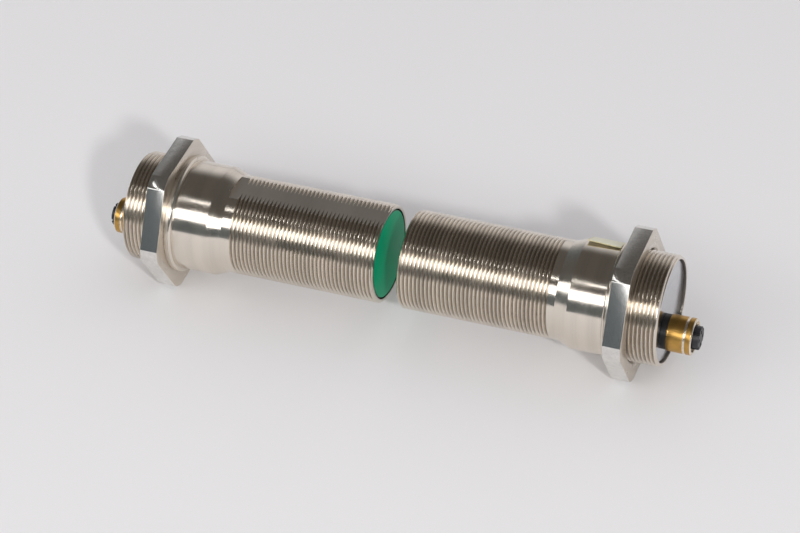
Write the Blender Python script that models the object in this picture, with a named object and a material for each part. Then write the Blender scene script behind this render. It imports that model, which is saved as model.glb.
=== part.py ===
"""Through-beam photoelectric sensor pair: two threaded metal cylinders, emitter and receiver, face to face.

Metres, +Z up. The common optical axis runs along X at the height of half a lock nut, so that both
units lie on one flat of their nuts. The origin is on the resting surface, under the middle of the
beam gap. The emitter is on the -X side and the receiver on the +X side.

A unit is modelled in its own frame: +X runs from its front face to its rear, +Z is the side of its
milled flat.
"""

import math

import bmesh
import bpy
from mathutils import Matrix

# Spacing and clearances
BEAM_GAP = 0.0088
CLEARANCE = 0.0003
THREAD_CLEARANCE = 0.00015
PIN_CLEARANCE = 0.0002
BORE_CLEARANCE = 0.0004
LABEL_GAP = 0.0001

# Housing: outside. The barrel's radius drives every other radius of the unit
BARREL_RADIUS = 0.018
BARREL_LENGTH = 0.0585
FRONT_CHAMFER = 0.0009
CONE_LENGTH = 0.005
CONE_RISE = 0.002
SHANK_LENGTH = 0.013
COLLAR_RISE = 0.0015
COLLAR_LENGTH = 0.0011
COLLAR_CHAMFER = 0.0006
REAR_THREAD_DROP = 0.00005
REAR_THREAD_LENGTH = 0.0184
REAR_CHAMFER = 0.0006
FLAT_DEPTH = 0.0011

# Housing: inside
BARREL_WALL = 0.003
REAR_WALL = 0.00315
WINDOW_RIM = 0.0018
WINDOW_THICKNESS = 0.0028
WINDOW_RECESS = 0.0001
WINDOW_BEVEL = 0.0008
WINDOW_SEAL_WIDTH = 0.001
WINDOW_SEAL_THICKNESS = 0.001
COVER_RIM = 0.00175
COVER_THICKNESS = 0.0024
COVER_RECESS = 0.0008
COVER_SEAL_THICKNESS = 0.0008

# Lock nut and its washer
NUT_WALL = 0.00505
NUT_CORNER_RATIO = 0.55
NUT_THICKNESS = 0.0067
NUT_BORE_CHAMFER = 0.0007
WASHER_THICKNESS = 0.0008

# Optics
LENS_MARGIN = 0.0016
LENS_EDGE = 0.0015
LENS_CROWN = 0.0035
HOLDER_RIM = 0.0006
HOLDER_LENGTH = 0.0248
HOLDER_LEDGE = 0.001
HOLDER_TAPER = 0.0017
LED_RADIUS = 0.0025
LED_LENGTH = 0.008
LED_FLANGE_RADIUS = 0.0029
LED_FLANGE_THICKNESS = 0.001
PHOTODIODE_RADIUS = 0.0042
PHOTODIODE_LENGTH = 0.0038
PHOTODIODE_FLANGE_RADIUS = 0.0047
OPTICS_BOARD_MARGIN = 0.0008
BOARD_THICKNESS = 0.0016

# Electronics
MAIN_BOARD_SIDE_MARGIN = 0.001
MAIN_BOARD_END_GAP = 0.0001
CARRIER_WALL = 0.0016
CARRIER_END_GAP = 0.002
HEADER_SIZE = (0.0026, 0.014, 0.003)
CHIP_SIZE = (0.009, 0.009, 0.0014)
CHIP_PLACE_SHARE = 0.53
CAPACITOR_RADIUS = 0.0032
CAPACITOR_HEIGHT = 0.009
CAPACITOR_PLACE_SHARE = 0.22

# Connector
CONNECTOR_EDGE_MARGIN = 0.0026
SHELL_RADIUS = 0.0066
SHELL_LENGTH = 0.009
SHELL_WALL = 0.0011
SHELL_MOUTH_DEPTH = 0.006
SHELL_GROOVE_PLACE = 0.0059
SHELL_GROOVE_WIDTH = 0.0008
SHELL_GROOVE_DEPTH = 0.0004
SHELL_CHAMFER = 0.0004
STEM_STEP = 0.001
STEM_WALL = 0.001
STEM_LENGTH = 0.0045
GASKET_THICKNESS = 0.0017
CONNECTOR_NUT_WALL = 0.0014
CONNECTOR_NUT_THICKNESS = 0.002
INSERT_GAP = 0.0004
INSERT_PROTRUSION = 0.002
INSERT_TAIL = 0.001
SLOT_WIDTH = 0.0012
SLOT_DEPTH = 0.001
SLOT_LENGTH = 0.005
CONTACT_RADIUS = 0.00055
CONTACT_RECESS = 0.0006
CONTACT_TAIL = 0.003
CONTACT_COUNT = 4

# Label on the receiver
LABEL_THICKNESS = 0.0002
LABEL_ANGLE = math.radians(94)
LABEL_END_GAP = 0.0004

# How the receiver lies: turned by one side of its nut about the optical axis
RECEIVER_ROLL = -math.radians(60)

ROUND_STEPS = 48
INNER_STEPS = 32
SMALL_STEPS = 24
PIN_STEPS = 10
LABEL_STEPS = 12
SHARP_ANGLE = math.radians(32)
WELD_DISTANCE = 1e-7
CUT_OVERRUN = 0.001

# Radii that follow from the barrel's, from the outside inwards
SHANK_RADIUS = BARREL_RADIUS + CONE_RISE
COLLAR_RADIUS = SHANK_RADIUS + COLLAR_RISE
REAR_THREAD_RADIUS = SHANK_RADIUS - REAR_THREAD_DROP
NUT_BORE_RADIUS = REAR_THREAD_RADIUS + THREAD_CLEARANCE
NUT_ACROSS_FLATS = 2 * (REAR_THREAD_RADIUS + NUT_WALL)
NUT_CORNER_RADIUS = NUT_CORNER_RATIO * NUT_ACROSS_FLATS
AXIS_HEIGHT = NUT_ACROSS_FLATS / 2
BARREL_BORE_RADIUS = BARREL_RADIUS - BARREL_WALL
REAR_BORE_RADIUS = REAR_THREAD_RADIUS - REAR_WALL
WINDOW_RADIUS = BARREL_RADIUS - WINDOW_RIM
WINDOW_SEAT_RADIUS = WINDOW_RADIUS + CLEARANCE
COVER_RADIUS = REAR_THREAD_RADIUS - COVER_RIM
COVER_SEAT_RADIUS = COVER_RADIUS + CLEARANCE
LENS_RADIUS = BARREL_BORE_RADIUS - LENS_MARGIN
HOLDER_RADIUS = BARREL_BORE_RADIUS - BORE_CLEARANCE
HOLDER_SEAT_RADIUS = LENS_RADIUS + CLEARANCE
OPTICS_BOARD_RADIUS = BARREL_BORE_RADIUS - OPTICS_BOARD_MARGIN

# The connector and the main board share one level, as far below the axis as the connector's nut allows
SHELL_MOUTH_RADIUS = SHELL_RADIUS - SHELL_WALL
STEM_RADIUS = SHELL_RADIUS - STEM_STEP
STEM_BORE_RADIUS = STEM_RADIUS - STEM_WALL
CONNECTOR_NUT_CORNER_RADIUS = (STEM_RADIUS + CONNECTOR_NUT_WALL) / math.cos(math.pi / 6)
CONNECTOR_OFFSET = COVER_RADIUS - CONNECTOR_EDGE_MARGIN - CONNECTOR_NUT_CORNER_RADIUS
INSERT_RADIUS = STEM_BORE_RADIUS - INSERT_GAP
CONTACT_CIRCLE_RADIUS = math.sqrt(2) * (BOARD_THICKNESS / 2 + CLEARANCE + CONTACT_RADIUS)
BOARD_TOP = -CONNECTOR_OFFSET + BOARD_THICKNESS / 2
BOARD_BOTTOM = -CONNECTOR_OFFSET - BOARD_THICKNESS / 2
CARRIER_RIM = BOARD_BOTTOM - CLEARANCE
MAIN_BOARD_WIDTH = 2 * (math.sqrt(HOLDER_RADIUS**2 - CARRIER_RIM**2) - MAIN_BOARD_SIDE_MARGIN)

# Stations along a unit, counted from its front face
CONE_END = BARREL_LENGTH + CONE_LENGTH
SHANK_END = CONE_END + SHANK_LENGTH
COLLAR_END = SHANK_END + COLLAR_LENGTH
REAR_END = COLLAR_END + REAR_THREAD_LENGTH
WASHER_FRONT = COLLAR_END + CLEARANCE
NUT_FRONT = WASHER_FRONT + WASHER_THICKNESS + CLEARANCE
WINDOW_SEAL_FRONT = WINDOW_RECESS + WINDOW_THICKNESS + CLEARANCE
WINDOW_LEDGE = WINDOW_SEAL_FRONT + WINDOW_SEAL_THICKNESS + CLEARANCE
COVER_REAR = REAR_END - COVER_RECESS
COVER_FRONT = COVER_REAR - COVER_THICKNESS
COVER_SEAL_FRONT = COVER_FRONT - CLEARANCE - COVER_SEAL_THICKNESS
COVER_LEDGE = COVER_SEAL_FRONT - CLEARANCE
HOLDER_FRONT = WINDOW_SEAL_FRONT + WINDOW_SEAL_THICKNESS + CLEARANCE
LENS_FRONT = HOLDER_FRONT + HOLDER_RIM
OPTICS_BOARD_FRONT = HOLDER_FRONT + HOLDER_LENGTH + CLEARANCE
MAIN_BOARD_FRONT = OPTICS_BOARD_FRONT + BOARD_THICKNESS + CLEARANCE
GASKET_FRONT = COVER_REAR + CLEARANCE
SHELL_FRONT = GASKET_FRONT + GASKET_THICKNESS + CLEARANCE
SHELL_REAR = SHELL_FRONT + SHELL_LENGTH
STEM_FRONT = COVER_FRONT - STEM_LENGTH
INSERT_REAR = SHELL_REAR + INSERT_PROTRUSION
INSERT_FRONT = STEM_FRONT - INSERT_TAIL
MAIN_BOARD_LENGTH = INSERT_FRONT - MAIN_BOARD_END_GAP - MAIN_BOARD_FRONT
LABEL_LENGTH = SHANK_LENGTH - 2 * LABEL_END_GAP

METAL = (0.62, 0.6, 0.57)
FINISHES = {
    "housing_steel": (METAL, 0.22, 1.0),
    "nut_steel": ((0.36, 0.38, 0.39), 0.42, 1.0),
    "washer_steel": (METAL, 0.3, 1.0),
    "window_green": ((0.012, 0.17, 0.09), 0.2, 0.0),
    "seal_rubber": ((0.015, 0.015, 0.015), 0.6, 0.0),
    "lens_glass": ((0.8, 0.85, 0.85), 0.05, 0.0),
    "holder_plastic": ((0.02, 0.02, 0.02), 0.5, 0.0),
    "diode_resin": ((0.35, 0.03, 0.03), 0.15, 0.0),
    "board_green": ((0.02, 0.12, 0.05), 0.4, 0.0),
    "carrier_plastic": ((0.55, 0.55, 0.5), 0.5, 0.0),
    "chip_plastic": ((0.02, 0.02, 0.025), 0.45, 0.0),
    "capacitor_can": ((0.5, 0.5, 0.52), 0.3, 1.0),
    "cover_steel": ((0.5, 0.5, 0.5), 0.12, 1.0),
    "connector_gold": ((0.83, 0.53, 0.13), 0.18, 1.0),
    "insert_plastic": ((0.012, 0.012, 0.014), 0.4, 0.0),
    "contact_gold": ((0.9, 0.62, 0.2), 0.2, 1.0),
    "label_paper": ((0.85, 0.83, 0.72), 0.5, 0.0),
}


def clear_scene():
    for obj in list(bpy.data.objects):
        bpy.data.objects.remove(obj, do_unlink=True)


def finish(name):
    """The material of this name, made at its first use."""
    found = bpy.data.materials.get(name)
    if found:
        return found
    color, roughness, metallic = FINISHES[name]
    material = bpy.data.materials.new(name)
    material.use_nodes = True
    shader = material.node_tree.nodes["Principled BSDF"]
    shader.inputs["Base Color"].default_value = (*color, 1.0)
    shader.inputs["Roughness"].default_value = roughness
    shader.inputs["Metallic"].default_value = metallic
    return material


def add_empty(name, parent=None, place=(0, 0, 0), turn=(0, 0, 0)):
    empty = bpy.data.objects.new(name, None)
    bpy.context.collection.objects.link(empty)
    empty.parent = parent
    empty.location = place
    empty.rotation_euler = turn
    return empty


def add_object(name, shape, material, parent, place=(0, 0, 0)):
    """Turns a finished bmesh into a named object under its parent."""
    bmesh.ops.recalc_face_normals(shape, faces=shape.faces)
    mesh = bpy.data.meshes.new(name)
    shape.to_mesh(mesh)
    shape.free()
    mesh.shade_smooth()
    mesh.set_sharp_from_angle(angle=SHARP_ANGLE)
    mesh.materials.append(finish(material))
    obj = bpy.data.objects.new(name, mesh)
    bpy.context.collection.objects.link(obj)
    obj.parent = parent
    obj.location = place
    return obj


def turned(profile, steps, closed):
    """A bmesh of a profile of (station, radius) points, spun about X. A closed profile makes a ring."""
    shape = bmesh.new()
    points = [shape.verts.new((station, 0, radius)) for station, radius in profile]
    edges = [shape.edges.new(pair) for pair in zip(points, points[1:])]
    if closed:
        edges.append(shape.edges.new((points[-1], points[0])))
    bmesh.ops.spin(
        shape, geom=points + edges, cent=(0, 0, 0), axis=(1, 0, 0), angle=2 * math.pi, steps=steps,
        use_merge=True, use_duplicate=False,
    )
    bmesh.ops.remove_doubles(shape, verts=shape.verts, dist=WELD_DISTANCE)
    return shape


def tube(front, rear, inner, outer, steps):
    return turned([(front, inner), (front, outer), (rear, outer), (rear, inner)], steps, True)


def rod(front, rear, radius, steps):
    return turned([(front, 0), (front, radius), (rear, radius), (rear, 0)], steps, False)


def extruded(outline, front, rear):
    """A bmesh of an outline of (y, z) points, extruded along X."""
    shape = bmesh.new()
    face = shape.faces.new([shape.verts.new((front, y, z)) for y, z in outline])
    swept = bmesh.ops.extrude_face_region(shape, geom=[face])["geom"]
    moved = [item for item in swept if isinstance(item, bmesh.types.BMVert)]
    bmesh.ops.translate(shape, verts=moved, vec=(rear - front, 0, 0))
    return shape


def block(size, center):
    shape = bmesh.new()
    place = Matrix.Translation(center) @ Matrix.Diagonal((*size, 1))
    bmesh.ops.create_cube(shape, size=1, matrix=place)
    return shape


def arc(radius, start, end, steps):
    angles = [start + (end - start) * step / steps for step in range(steps + 1)]
    return [(radius * math.cos(angle), radius * math.sin(angle)) for angle in angles]


def cut(obj, cutter_shape, name):
    """Takes a shape away from an object, with a hidden cutter under the same parent and at the same place."""
    cutter = add_object(name, cutter_shape, "seal_rubber", obj.parent, obj.location)
    cutter.hide_render = True
    cutter.display_type = "WIRE"
    modifier = obj.modifiers.new(name, "BOOLEAN")
    modifier.operation = "DIFFERENCE"
    modifier.solver = "EXACT"
    modifier.object = cutter


def add_housing(prefix, parent):
    outside = [
        (0, BARREL_RADIUS - FRONT_CHAMFER),
        (FRONT_CHAMFER, BARREL_RADIUS),
        (BARREL_LENGTH, BARREL_RADIUS),
        (CONE_END, SHANK_RADIUS),
        (SHANK_END, SHANK_RADIUS),
        (SHANK_END, COLLAR_RADIUS - COLLAR_CHAMFER),
        (SHANK_END + COLLAR_CHAMFER, COLLAR_RADIUS),
        (COLLAR_END, COLLAR_RADIUS),
        (COLLAR_END, REAR_THREAD_RADIUS),
        (REAR_END - REAR_CHAMFER, REAR_THREAD_RADIUS),
        (REAR_END, REAR_THREAD_RADIUS - REAR_CHAMFER),
    ]
    inside = [
        (REAR_END, COVER_SEAT_RADIUS),
        (COVER_LEDGE, COVER_SEAT_RADIUS),
        (COVER_LEDGE, REAR_BORE_RADIUS),
        (CONE_END, REAR_BORE_RADIUS),
        (BARREL_LENGTH, BARREL_BORE_RADIUS),
        (WINDOW_LEDGE, BARREL_BORE_RADIUS),
        (WINDOW_LEDGE, WINDOW_SEAT_RADIUS),
        (0, WINDOW_SEAT_RADIUS),
    ]
    housing = add_object(
        prefix + "housing", turned(outside + inside, ROUND_STEPS, True), "housing_steel", parent
    )
    flat_cutter = block(
        (BARREL_LENGTH + CUT_OVERRUN, 2 * BARREL_RADIUS, 2 * FLAT_DEPTH),
        ((BARREL_LENGTH - CUT_OVERRUN) / 2, 0, BARREL_RADIUS),
    )
    cut(housing, flat_cutter, prefix + "flat_cutter")


def hexagon(across_flats, corner_radius):
    """(y, z) points of a hexagon with a flat at the bottom and its corners turned down to a radius."""
    half = across_flats / 2
    turned_angle = math.pi / 6 - math.acos(min(1, half / corner_radius))
    points = []
    for corner in range(6):
        middle = corner * math.pi / 3
        points += arc(corner_radius, middle - turned_angle, middle + turned_angle, 2)
    return points


def add_lock_nut(prefix, parent):
    """The nut's origin is on the optical axis at the middle of its thickness."""
    half = NUT_THICKNESS / 2
    nut = add_object(
        prefix + "lock_nut",
        extruded(hexagon(NUT_ACROSS_FLATS, NUT_CORNER_RADIUS), -half, half),
        "nut_steel",
        parent,
        (NUT_FRONT + half, 0, 0),
    )
    flared = NUT_BORE_RADIUS + NUT_BORE_CHAMFER + CUT_OVERRUN
    profile = [
        (-half - CUT_OVERRUN, 0),
        (-half - CUT_OVERRUN, flared),
        (-half + NUT_BORE_CHAMFER, NUT_BORE_RADIUS),
        (half - NUT_BORE_CHAMFER, NUT_BORE_RADIUS),
        (half + CUT_OVERRUN, flared),
        (half + CUT_OVERRUN, 0),
    ]
    cut(nut, turned(profile, ROUND_STEPS, False), prefix + "nut_bore_cutter")


def add_nut_washer(prefix, parent):
    washer = tube(0, WASHER_THICKNESS, NUT_BORE_RADIUS, COLLAR_RADIUS, ROUND_STEPS)
    add_object(prefix + "nut_washer", washer, "washer_steel", parent, (WASHER_FRONT, 0, 0))


def add_window(prefix, parent):
    front = WINDOW_RECESS
    rear = front + WINDOW_THICKNESS
    profile = [
        (front, 0),
        (front, WINDOW_RADIUS - WINDOW_BEVEL),
        (front + WINDOW_BEVEL, WINDOW_RADIUS),
        (rear, WINDOW_RADIUS),
        (rear, 0),
    ]
    add_object(prefix + "window", turned(profile, INNER_STEPS, False), "window_green", parent)
    seal_rear = WINDOW_SEAL_FRONT + WINDOW_SEAL_THICKNESS
    seal = tube(WINDOW_SEAL_FRONT, seal_rear, WINDOW_RADIUS - WINDOW_SEAL_WIDTH, WINDOW_RADIUS, INNER_STEPS)
    add_object(prefix + "window_seal", seal, "seal_rubber", parent)


def add_lens(prefix, parent):
    """A plano-convex lens, flat side to the front, in a holder that is also the light stop."""
    sphere_radius = (LENS_RADIUS**2 + LENS_CROWN**2) / (2 * LENS_CROWN)
    edge_rear = LENS_FRONT + LENS_EDGE
    crown_steps = 5
    profile = [(LENS_FRONT, 0), (LENS_FRONT, LENS_RADIUS)]
    for step in range(crown_steps + 1):
        radius = LENS_RADIUS * (1 - step / crown_steps)
        drop = sphere_radius - math.sqrt(sphere_radius**2 - radius**2)
        profile.append((edge_rear + LENS_CROWN - drop, radius))
    add_object(prefix + "lens", turned(profile, INNER_STEPS, False), "lens_glass", parent)

    ledge = edge_rear + CLEARANCE + HOLDER_LEDGE
    throat = HOLDER_SEAT_RADIUS - HOLDER_LEDGE
    holder_rear = HOLDER_FRONT + HOLDER_LENGTH
    profile = [
        (HOLDER_FRONT, HOLDER_SEAT_RADIUS),
        (HOLDER_FRONT, HOLDER_RADIUS),
        (holder_rear, HOLDER_RADIUS),
        (holder_rear, throat - HOLDER_TAPER),
        (ledge, throat),
        (ledge, HOLDER_SEAT_RADIUS),
    ]
    add_object(prefix + "lens_holder", turned(profile, INNER_STEPS, True), "holder_plastic", parent)


def add_light_source(prefix, parent):
    """A domed light-emitting diode on the optical axis, its dome to the front."""
    base = OPTICS_BOARD_FRONT - CLEARANCE
    flange = base - LED_FLANGE_THICKNESS
    dome_center = base - LED_LENGTH + LED_RADIUS
    dome_steps = 5
    profile = [(base, 0), (base, LED_FLANGE_RADIUS), (flange, LED_FLANGE_RADIUS), (flange, LED_RADIUS)]
    for step in range(dome_steps + 1):
        angle = math.pi / 2 * step / dome_steps
        profile.append((dome_center - LED_RADIUS * math.sin(angle), LED_RADIUS * math.cos(angle)))
    add_object(prefix + "light_source", turned(profile, SMALL_STEPS, False), "diode_resin", parent)


def add_photodiode(prefix, parent):
    """A flat-topped detector can on the optical axis."""
    base = OPTICS_BOARD_FRONT - CLEARANCE
    flange = base - LED_FLANGE_THICKNESS
    profile = [
        (base, 0),
        (base, PHOTODIODE_FLANGE_RADIUS),
        (flange, PHOTODIODE_FLANGE_RADIUS),
        (flange, PHOTODIODE_RADIUS),
        (base - PHOTODIODE_LENGTH, PHOTODIODE_RADIUS),
        (base - PHOTODIODE_LENGTH, 0),
    ]
    add_object(prefix + "photodiode", turned(profile, SMALL_STEPS, False), "capacitor_can", parent)


def add_boards(prefix, parent):
    board = rod(OPTICS_BOARD_FRONT, OPTICS_BOARD_FRONT + BOARD_THICKNESS, OPTICS_BOARD_RADIUS, INNER_STEPS)
    add_object(prefix + "optics_board", board, "board_green", parent)

    size = (MAIN_BOARD_LENGTH, MAIN_BOARD_WIDTH, BOARD_THICKNESS)
    center = (MAIN_BOARD_FRONT + MAIN_BOARD_LENGTH / 2, 0, -CONNECTOR_OFFSET)
    add_object(prefix + "main_board", block(size, center), "board_green", parent)

    on_board = BOARD_TOP + CLEARANCE
    place = (MAIN_BOARD_FRONT + HEADER_SIZE[0] / 2, 0, on_board + HEADER_SIZE[2] / 2)
    add_object(prefix + "pin_header", block(HEADER_SIZE, place), "chip_plastic", parent)

    chip_station = MAIN_BOARD_FRONT + CHIP_PLACE_SHARE * MAIN_BOARD_LENGTH
    place = (chip_station, 0, on_board + CHIP_SIZE[2] / 2)
    add_object(prefix + "signal_chip", block(CHIP_SIZE, place), "chip_plastic", parent)

    can = rod(0, CAPACITOR_HEIGHT, CAPACITOR_RADIUS, SMALL_STEPS)
    bmesh.ops.rotate(can, verts=can.verts, cent=(0, 0, 0), matrix=Matrix.Rotation(-math.pi / 2, 3, "Y"))
    can_station = MAIN_BOARD_FRONT + CAPACITOR_PLACE_SHARE * MAIN_BOARD_LENGTH
    bmesh.ops.translate(can, verts=can.verts, vec=(can_station, 0, on_board))
    add_object(prefix + "capacitor", can, "capacitor_can", parent)


def add_board_carrier(prefix, parent):
    """A trough along the bottom of the bore. The main board lies on its two rims."""
    outer = HOLDER_RADIUS
    inner = outer - CARRIER_WALL
    outer_start = math.pi - math.asin(CARRIER_RIM / outer)
    outer_end = 2 * math.pi + math.asin(CARRIER_RIM / outer)
    inner_start = math.pi - math.asin(CARRIER_RIM / inner)
    inner_end = 2 * math.pi + math.asin(CARRIER_RIM / inner)
    outline = arc(outer, outer_start, outer_end, 12) + arc(inner, inner_end, inner_start, 12)
    carrier_front = MAIN_BOARD_FRONT
    carrier_rear = carrier_front + MAIN_BOARD_LENGTH - CARRIER_END_GAP
    shape = extruded(outline, carrier_front, carrier_rear)
    add_object(prefix + "board_carrier", shape, "carrier_plastic", parent)


def add_rear_cover(prefix, parent):
    cover = rod(COVER_FRONT, COVER_REAR, COVER_RADIUS, INNER_STEPS)
    cover = add_object(prefix + "rear_cover", cover, "cover_steel", parent)
    hole = rod(COVER_FRONT - CUT_OVERRUN, COVER_REAR + CUT_OVERRUN, STEM_RADIUS + CLEARANCE, SMALL_STEPS)
    bmesh.ops.translate(hole, verts=hole.verts, vec=(0, 0, -CONNECTOR_OFFSET))
    cut(cover, hole, prefix + "cover_hole_cutter")

    seal_rear = COVER_SEAL_FRONT + COVER_SEAL_THICKNESS
    seal = tube(COVER_SEAL_FRONT, seal_rear, REAR_BORE_RADIUS, COVER_RADIUS, INNER_STEPS)
    add_object(prefix + "cover_seal", seal, "seal_rubber", parent)


def add_connector(prefix, parent):
    """All connector pieces are turned about their own axis, below the optical axis."""
    place = (0, 0, -CONNECTOR_OFFSET)
    groove = SHELL_FRONT + SHELL_GROOVE_PLACE
    floor = SHELL_RADIUS - SHELL_GROOVE_DEPTH
    mouth_floor = SHELL_REAR - SHELL_MOUTH_DEPTH
    profile = [
        (STEM_FRONT, STEM_BORE_RADIUS),
        (STEM_FRONT, STEM_RADIUS),
        (SHELL_FRONT, STEM_RADIUS),
        (SHELL_FRONT, SHELL_RADIUS),
        (groove, SHELL_RADIUS),
        (groove, floor),
        (groove + SHELL_GROOVE_WIDTH, floor),
        (groove + SHELL_GROOVE_WIDTH, SHELL_RADIUS),
        (SHELL_REAR - SHELL_CHAMFER, SHELL_RADIUS),
        (SHELL_REAR, SHELL_RADIUS - SHELL_CHAMFER),
        (SHELL_REAR, SHELL_MOUTH_RADIUS),
        (mouth_floor, SHELL_MOUTH_RADIUS),
        (mouth_floor, STEM_BORE_RADIUS),
    ]
    shell = turned(profile, SMALL_STEPS, True)
    add_object(prefix + "connector_shell", shell, "connector_gold", parent, place)

    gasket_bore = STEM_RADIUS + CLEARANCE
    gasket = tube(GASKET_FRONT, GASKET_FRONT + GASKET_THICKNESS, gasket_bore, SHELL_RADIUS, SMALL_STEPS)
    add_object(prefix + "connector_gasket", gasket, "seal_rubber", parent, place)

    nut_rear = COVER_FRONT - CLEARANCE
    nut_front = nut_rear - CONNECTOR_NUT_THICKNESS
    hexagon = arc(CONNECTOR_NUT_CORNER_RADIUS, 0, 5 * math.pi / 3, 5)
    nut = extruded(hexagon, nut_front, nut_rear)
    nut = add_object(prefix + "connector_nut", nut, "connector_gold", parent, place)
    bore_radius = STEM_RADIUS + THREAD_CLEARANCE
    bore = rod(nut_front - CUT_OVERRUN, nut_rear + CUT_OVERRUN, bore_radius, SMALL_STEPS)
    cut(nut, bore, prefix + "connector_nut_cutter")

    insert = rod(INSERT_FRONT, INSERT_REAR, INSERT_RADIUS, SMALL_STEPS)
    insert = add_object(prefix + "connector_insert", insert, "insert_plastic", parent, place)
    add_insert_openings(insert, prefix)

    contact_front = INSERT_FRONT - CONTACT_TAIL
    for number, (y, z) in enumerate(contact_places(), 1):
        contact = rod(contact_front, INSERT_REAR - CONTACT_RECESS, CONTACT_RADIUS, PIN_STEPS)
        spot = (0, y, z - CONNECTOR_OFFSET)
        add_object(f"{prefix}contact_{number}", contact, "contact_gold", parent, spot)


def contact_places():
    """(y, z) of each contact about the connector's axis: two above the main board and two below it."""
    return [
        (
            CONTACT_CIRCLE_RADIUS * math.cos(math.pi / 4 + 2 * math.pi * number / CONTACT_COUNT),
            CONTACT_CIRCLE_RADIUS * math.sin(math.pi / 4 + 2 * math.pi * number / CONTACT_COUNT),
        )
        for number in range(CONTACT_COUNT)
    ]


def add_insert_openings(insert, prefix):
    """A through hole for each contact, and between the contacts the slots that leave the lobes of the face."""
    for number, (y, z) in enumerate(contact_places(), 1):
        hole = rod(
            INSERT_FRONT - CUT_OVERRUN, INSERT_REAR + CUT_OVERRUN, CONTACT_RADIUS + PIN_CLEARANCE, PIN_STEPS
        )
        bmesh.ops.translate(hole, verts=hole.verts, vec=(0, y, z))
        cut(insert, hole, f"{prefix}insert_hole_cutter_{number}")
    for number in range(CONTACT_COUNT):
        length = SLOT_LENGTH + CUT_OVERRUN
        depth = SLOT_DEPTH + CUT_OVERRUN
        slot = block(
            (length, depth, SLOT_WIDTH),
            (INSERT_REAR - SLOT_LENGTH + length / 2, INSERT_RADIUS - SLOT_DEPTH + depth / 2, 0),
        )
        turn = Matrix.Rotation(2 * math.pi * number / CONTACT_COUNT, 3, "X")
        bmesh.ops.rotate(slot, verts=slot.verts, cent=(0, 0, 0), matrix=turn)
        cut(insert, slot, f"{prefix}insert_slot_cutter_{number + 1}")


def add_label(prefix, parent):
    """A sheet wrapped round the shank, centred on the side of the milled flat."""
    inner = SHANK_RADIUS + LABEL_GAP
    start = math.pi / 2 - LABEL_ANGLE / 2
    end = math.pi / 2 + LABEL_ANGLE / 2
    outline = arc(inner + LABEL_THICKNESS, start, end, LABEL_STEPS) + arc(inner, end, start, LABEL_STEPS)
    front = CONE_END + LABEL_END_GAP
    add_object(prefix + "label", extruded(outline, front, front + LABEL_LENGTH), "label_paper", parent)


def add_unit(prefix, place, facing, roll):
    """One unit: its nut and washer keep a flat down, and everything else takes the roll."""
    base = add_empty(prefix + "base", None, place, (0, 0, facing))
    body = add_empty(prefix + "body", base, (0, 0, 0), (roll, 0, 0))
    add_housing(prefix, body)
    add_nut_washer(prefix, base)
    add_lock_nut(prefix, base)
    add_window(prefix, body)
    add_lens(prefix, body)
    add_boards(prefix, body)
    add_board_carrier(prefix, body)
    add_rear_cover(prefix, body)
    add_connector(prefix, body)
    return body


def main():
    clear_scene()
    emitter = add_unit("emitter_", (-BEAM_GAP / 2, 0, AXIS_HEIGHT), math.pi, 0)
    add_light_source("emitter_", emitter)
    receiver = add_unit("receiver_", (BEAM_GAP / 2, 0, AXIS_HEIGHT), 0, RECEIVER_ROLL)
    add_photodiode("receiver_", receiver)
    add_label("receiver_", receiver)


main()
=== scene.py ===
"""Through-beam photoelectric sensor pair: two threaded steel barrels, face to face on a table.

Each unit is modelled in its own frame, with +X from its front face to its rear, and is then
laid in place.
"""

import math

import bpy
from mathutils import Matrix, Vector


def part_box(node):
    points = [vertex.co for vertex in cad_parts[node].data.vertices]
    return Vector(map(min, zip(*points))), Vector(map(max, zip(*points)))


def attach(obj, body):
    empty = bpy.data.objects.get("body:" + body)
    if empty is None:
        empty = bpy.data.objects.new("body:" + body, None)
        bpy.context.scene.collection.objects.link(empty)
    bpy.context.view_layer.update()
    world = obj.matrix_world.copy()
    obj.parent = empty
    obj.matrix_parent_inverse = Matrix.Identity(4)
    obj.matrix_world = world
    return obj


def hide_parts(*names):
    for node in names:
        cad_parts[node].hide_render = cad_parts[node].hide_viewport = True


bl_info = {
    "name": "Through-beam sensor pair",
    "version": (1, 0, 0),
    "blender": (4, 5, 0),
    "location": "3D View > Sidebar > Sensor",
    "description": "Builds a pair of threaded barrel sensors, their finishes and a small studio",
    "category": "Object",
}

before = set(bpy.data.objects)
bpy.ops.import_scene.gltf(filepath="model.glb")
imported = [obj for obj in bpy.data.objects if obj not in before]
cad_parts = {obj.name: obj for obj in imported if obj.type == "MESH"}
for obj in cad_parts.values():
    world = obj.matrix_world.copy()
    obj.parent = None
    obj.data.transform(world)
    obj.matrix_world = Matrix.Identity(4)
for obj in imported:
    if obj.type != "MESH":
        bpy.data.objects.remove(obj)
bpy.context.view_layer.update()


def reach(node, axis=0):
    """(lowest, highest) of a CAD node along one axis of the frame."""
    low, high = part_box(node)
    return low[axis], high[axis]


def stations(kind):
    """(front, rear) of a piece, counted from its unit's front face."""
    front, rear = reach("receiver_" + kind)
    return front - FRONT, rear - FRONT


def half_width(kind):
    """Half of a piece's width across the optical axis, which is a round piece's radius."""
    low, high = reach("emitter_" + kind, 1)
    return (high - low) / 2


def middle(node):
    low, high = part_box(node)
    return (low + high) / 2


FRONT = reach("receiver_housing")[0]
AXIS_HEIGHT = middle("receiver_lock_nut").z
PLUG = middle("receiver_connector_shell")
PLUG_DROP = math.hypot(PLUG.y, PLUG.z - AXIS_HEIGHT)
# Prefix: the front face's place on X, the turn about Z and the roll about the optical axis
UNITS = {
    "emitter_": (reach("emitter_housing")[1], math.pi, 0.0),
    "receiver_": (FRONT, 0.0, math.atan2(PLUG.y, AXIS_HEIGHT - PLUG.z)),
}
TURNING_STEPS = 128
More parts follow.
